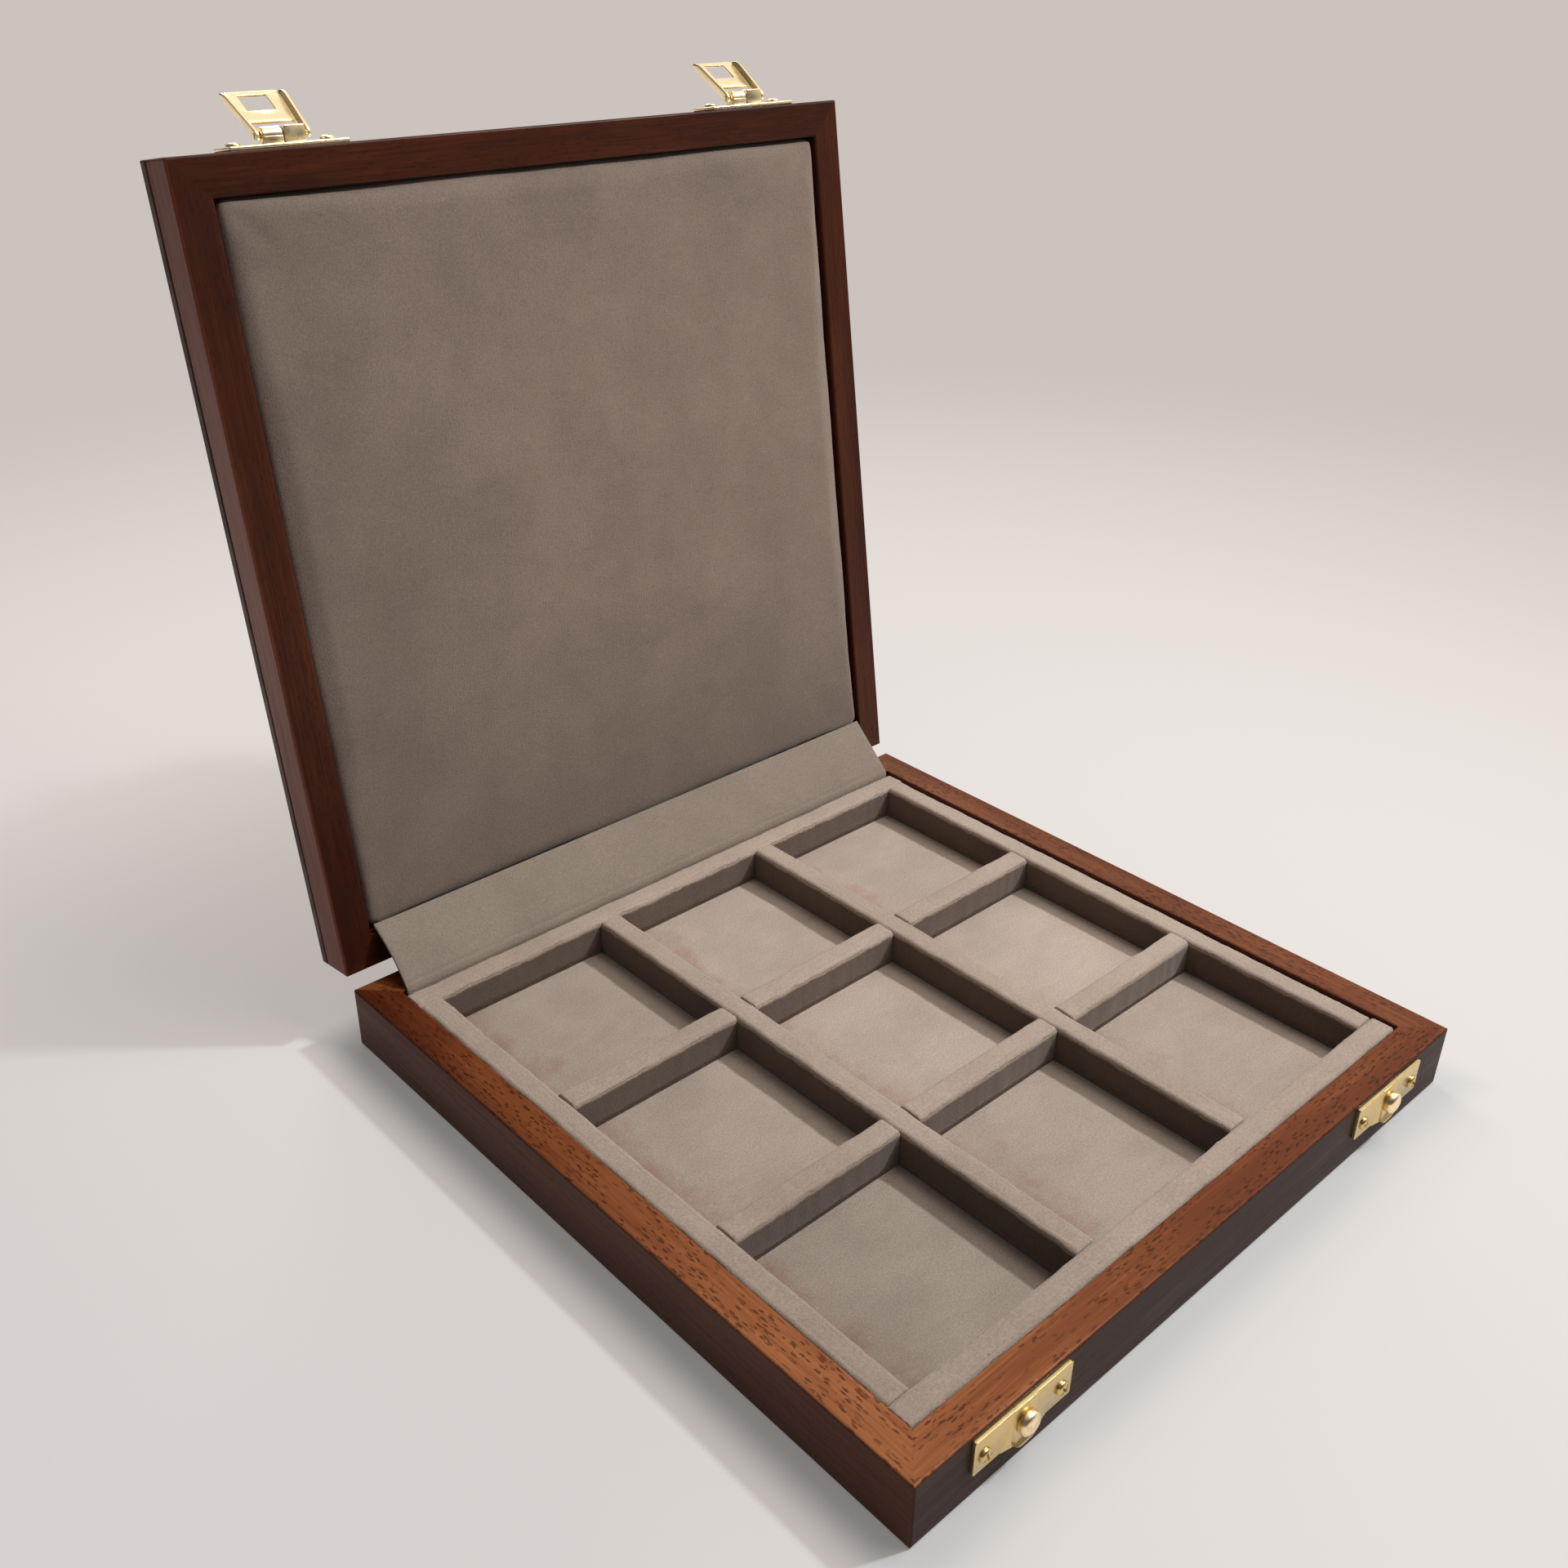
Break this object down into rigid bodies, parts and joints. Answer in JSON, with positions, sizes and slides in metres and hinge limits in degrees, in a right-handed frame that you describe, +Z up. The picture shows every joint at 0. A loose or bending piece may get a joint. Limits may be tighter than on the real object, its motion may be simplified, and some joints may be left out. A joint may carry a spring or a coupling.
{
  "type": "watch box",
  "caption": "Square hinged hardwood box with a velvet tray of square compartments, a cushioned lid standing open and brass hasp catches.",
  "frame": {"origin": "centre of the underside of the base", "axes": "+X to the right along the front, +Y towards the hinges at the back, +Z up"},
  "size_m": [0.25, 0.3208, 0.2852],
  "materials": {
    "hardwood": "satin varnish over open grain",
    "velvet": "short pile",
    "cushion_velvet": "short pile",
    "card": "matt card",
    "brass": "polished stamped brass"
  },
  "bodies": {
    "base": {"base_front_rail": "hardwood", "base_back_rail": "hardwood", "base_left_rail": "hardwood", "base_right_rail": "hardwood", "base_board": "hardwood", "tray_card": "card", "tray_floor": "velvet", "tray_front_strip": "velvet", "tray_back_strip": "velvet", "tray_left_strip": "velvet", "tray_right_strip": "velvet", "long_divider_left": "velvet", "long_divider_right": "velvet", "short_divider_front_left": "velvet", "short_divider_front_middle": "velvet", "short_divider_front_right": "velvet", "short_divider_back_left": "velvet", "short_divider_back_middle": "velvet", "short_divider_back_right": "velvet", "cover_hem": "velvet", "catch_plate_left": "brass", "catch_plate_right": "brass", "catch_stud_left": "brass", "catch_stud_right": "brass", "catch_screws": "brass", "hinge_base_leaf_left": "brass", "hinge_base_leaf_right": "brass", "hinge_pin_left": "brass", "hinge_pin_right": "brass", "hinge_base_screws": "brass"},
    "lid": {"lid_front_rail": "hardwood", "lid_back_rail": "hardwood", "lid_left_rail": "hardwood", "lid_right_rail": "hardwood", "lid_board": "hardwood", "lid_pad_card": "card", "lid_pad": "cushion_velvet", "hinge_lid_leaf_left": "brass", "hinge_lid_leaf_right": "brass", "hinge_lid_screws": "brass", "hasp_plate_left": "brass", "hasp_plate_right": "brass", "hasp_pin_left": "brass", "hasp_pin_right": "brass", "hasp_screws": "brass"},
    "hinge_cover": {"hinge_cover": "velvet"},
    "hasp_left": {"hasp_left": "brass"},
    "hasp_right": {"hasp_right": "brass"}
  },
  "joints": [
    {"name": "lid_hinge", "type": "hinge", "parent": "base", "child": "lid", "pos_m": [0, 0.12775, 0.02215], "axis": [1, 0, 0], "range_deg": [0, 98.7]},
    {"name": "cover_crease", "type": "hinge", "parent": "base", "child": "hinge_cover", "pos_m": [0, 0.1126, 0.022], "axis": [1, 0, 0], "range_deg": [0, 138]},
    {"name": "hasp_left_pivot", "type": "hinge", "parent": "lid", "child": "hasp_left", "pos_m": [-0.087, 0.17368, 0.27436], "axis": [1, 0, 0], "range_deg": [0, 140]},
    {"name": "hasp_right_pivot", "type": "hinge", "parent": "lid", "child": "hasp_right", "pos_m": [0.087, 0.17368, 0.27436], "axis": [1, 0, 0], "range_deg": [0, 140]}
  ],
  "couplings": [
    {"joint": "cover_crease", "follows": "lid_hinge", "ratio": 1.398}
  ]
}
